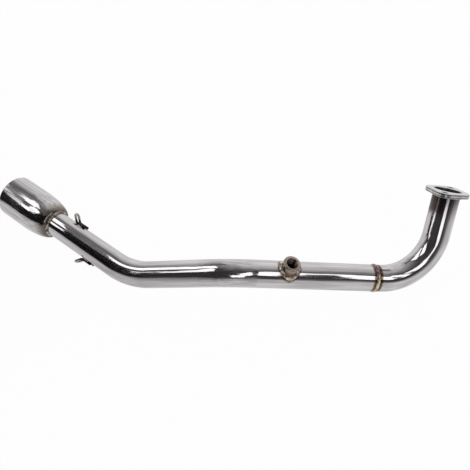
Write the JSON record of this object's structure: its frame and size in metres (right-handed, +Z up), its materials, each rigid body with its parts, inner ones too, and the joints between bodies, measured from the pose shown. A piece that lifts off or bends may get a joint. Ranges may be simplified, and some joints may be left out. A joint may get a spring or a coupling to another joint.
{
  "type": "exhaust link pipe",
  "caption": "Bent polished stainless header pipe with a two-bolt flange, sensor bung, spring hooks and a bell socket for a slip-on muffler.",
  "frame": {"origin": "centre of the gasket face of the header flange, on the axis of the port", "axes": "+Z up from the floor that the pipe lies on, the pipe runs from the flange towards -X, its longest extent along X"},
  "size_m": [0.5861, 0.212, 0.1223],
  "materials": {
    "flange_plate": "laser-cut stainless plate, satin",
    "polished_tube": "mirror polished stainless",
    "polished_socket": "mirror polished stainless",
    "turned_boss": "turned stainless, heat tinted",
    "hook_rod": "drawn stainless rod, heat tinted",
    "weld_bead": "welded stainless bead, heat tinted"
  },
  "bodies": {
    "root": {"header_flange": "flange_plate", "elbow_tube": "polished_tube", "main_tube": "polished_tube", "muffler_socket": "polished_socket", "sensor_bung": "turned_boss", "upper_spring_hook": "hook_rod", "lower_spring_hook": "hook_rod", "flange_weld": "weld_bead", "seam_weld": "weld_bead", "bung_weld": "weld_bead", "socket_weld": "weld_bead", "upper_hook_weld": "weld_bead", "lower_hook_weld": "weld_bead"}
  },
  "joints": []
}
